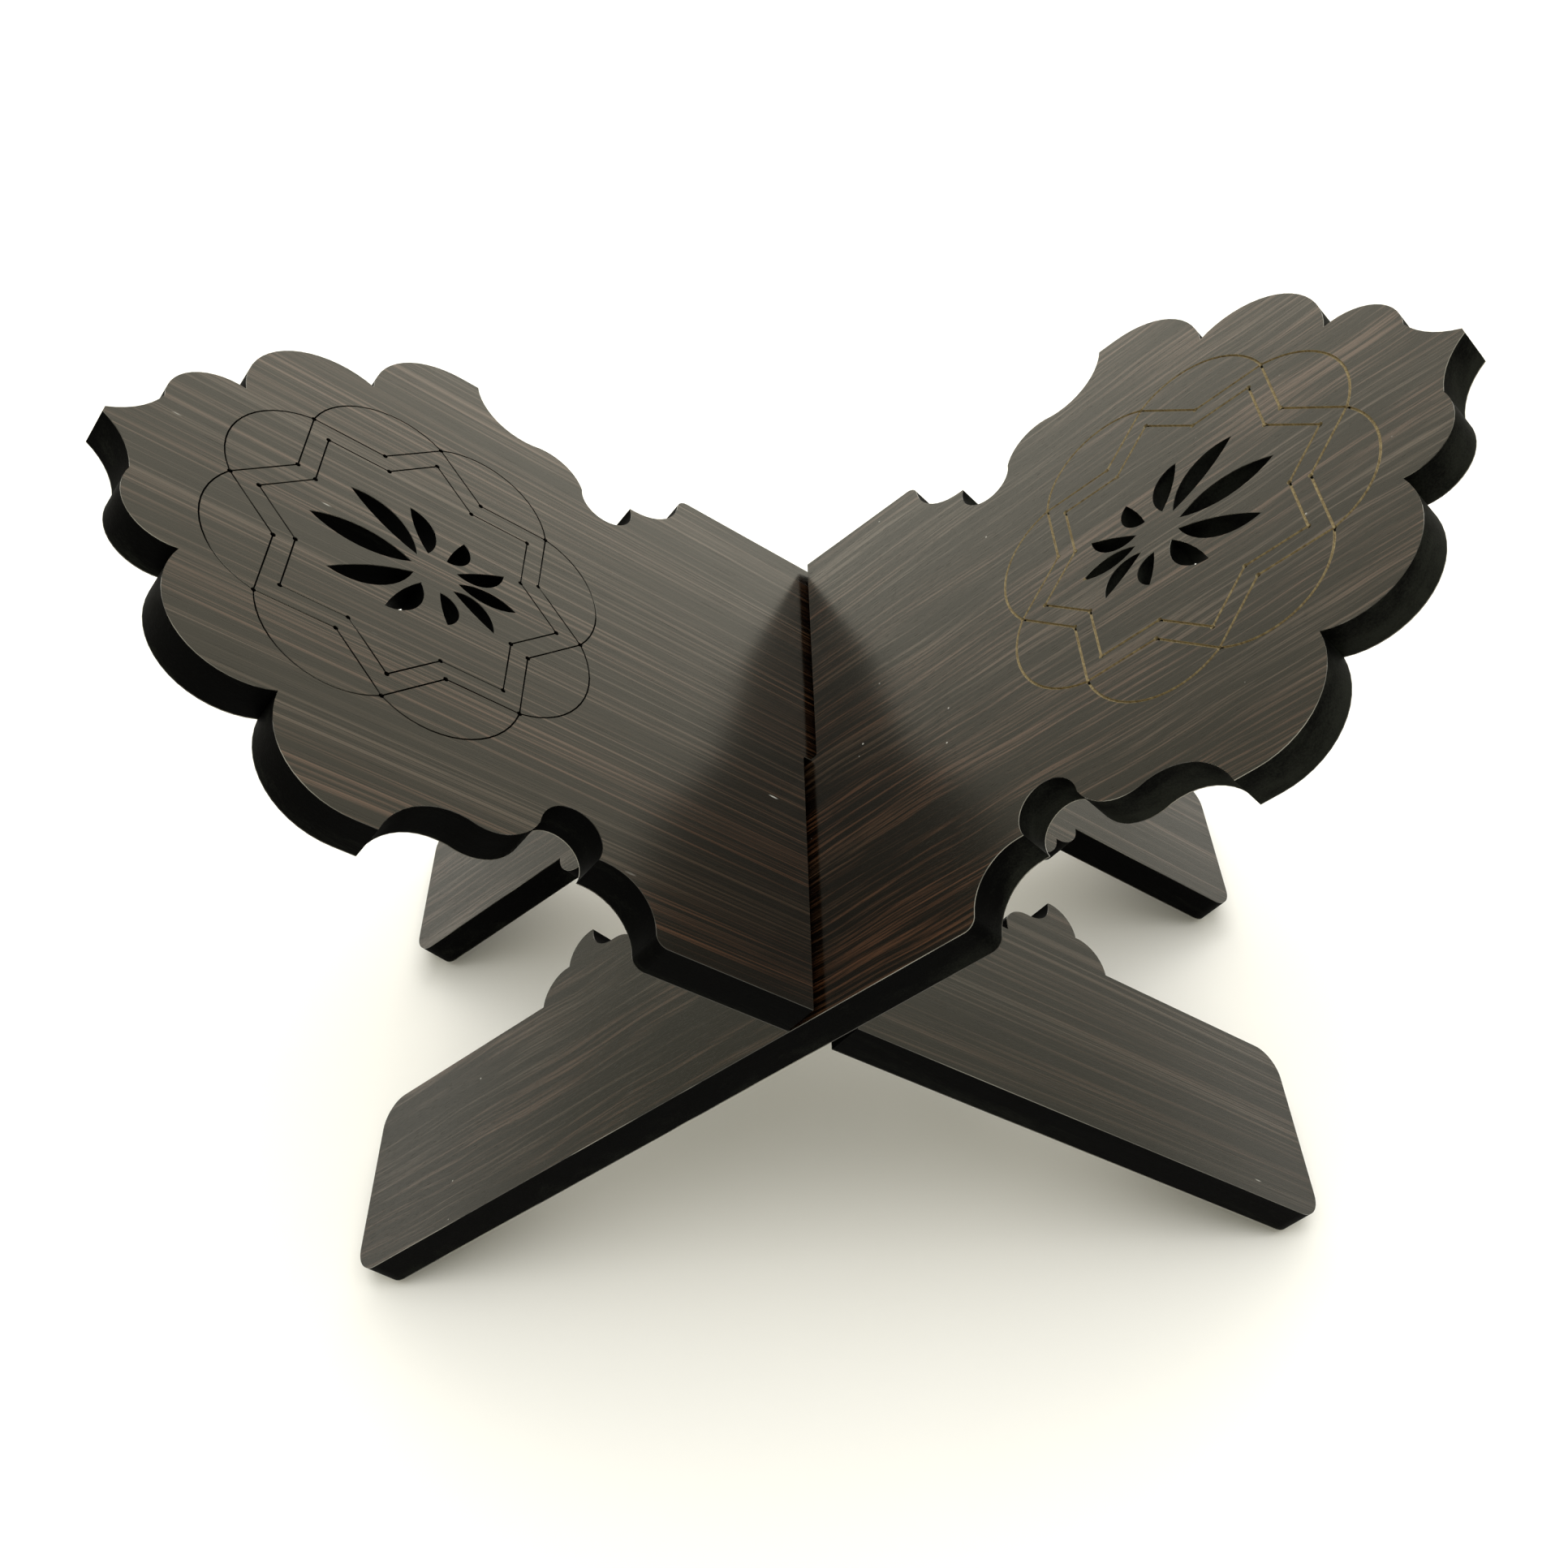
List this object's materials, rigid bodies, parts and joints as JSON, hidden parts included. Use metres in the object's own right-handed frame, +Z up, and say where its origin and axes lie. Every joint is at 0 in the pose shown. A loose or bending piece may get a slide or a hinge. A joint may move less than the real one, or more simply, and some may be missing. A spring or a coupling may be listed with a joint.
{
  "type": "quran stand",
  "caption": "Free-standing X-shaped book stand of crossed scalloped boards, joined by a halving joint, that holds an open book in its V.",
  "frame": {"origin": "on the floor, centred under the crossing of the two boards", "axes": "+X to the right along the spread of the boards, +Y to the back along the crossing, +Z up"},
  "size_m": [0.3814, 0.2, 0.2957],
  "materials": {
    "wenge_film": "semi-gloss dark wenge wood-grain film",
    "blackened_mdf": "satin, cut edges blackened and sealed, bare tan fibre in the engraved lines"
  },
  "bodies": {
    "right_board": {"right_board_core": "blackened_mdf", "right_board_inner_film": "wenge_film", "right_board_outer_film": "wenge_film"},
    "left_board": {"left_board_core": "blackened_mdf", "left_board_inner_film": "wenge_film", "left_board_outer_film": "wenge_film"}
  },
  "joints": [
    {"name": "slide_apart", "type": "slide", "parent": "right_board", "child": "left_board", "axis": [0, 1, 0], "range_m": [0, 0.1]}
  ]
}
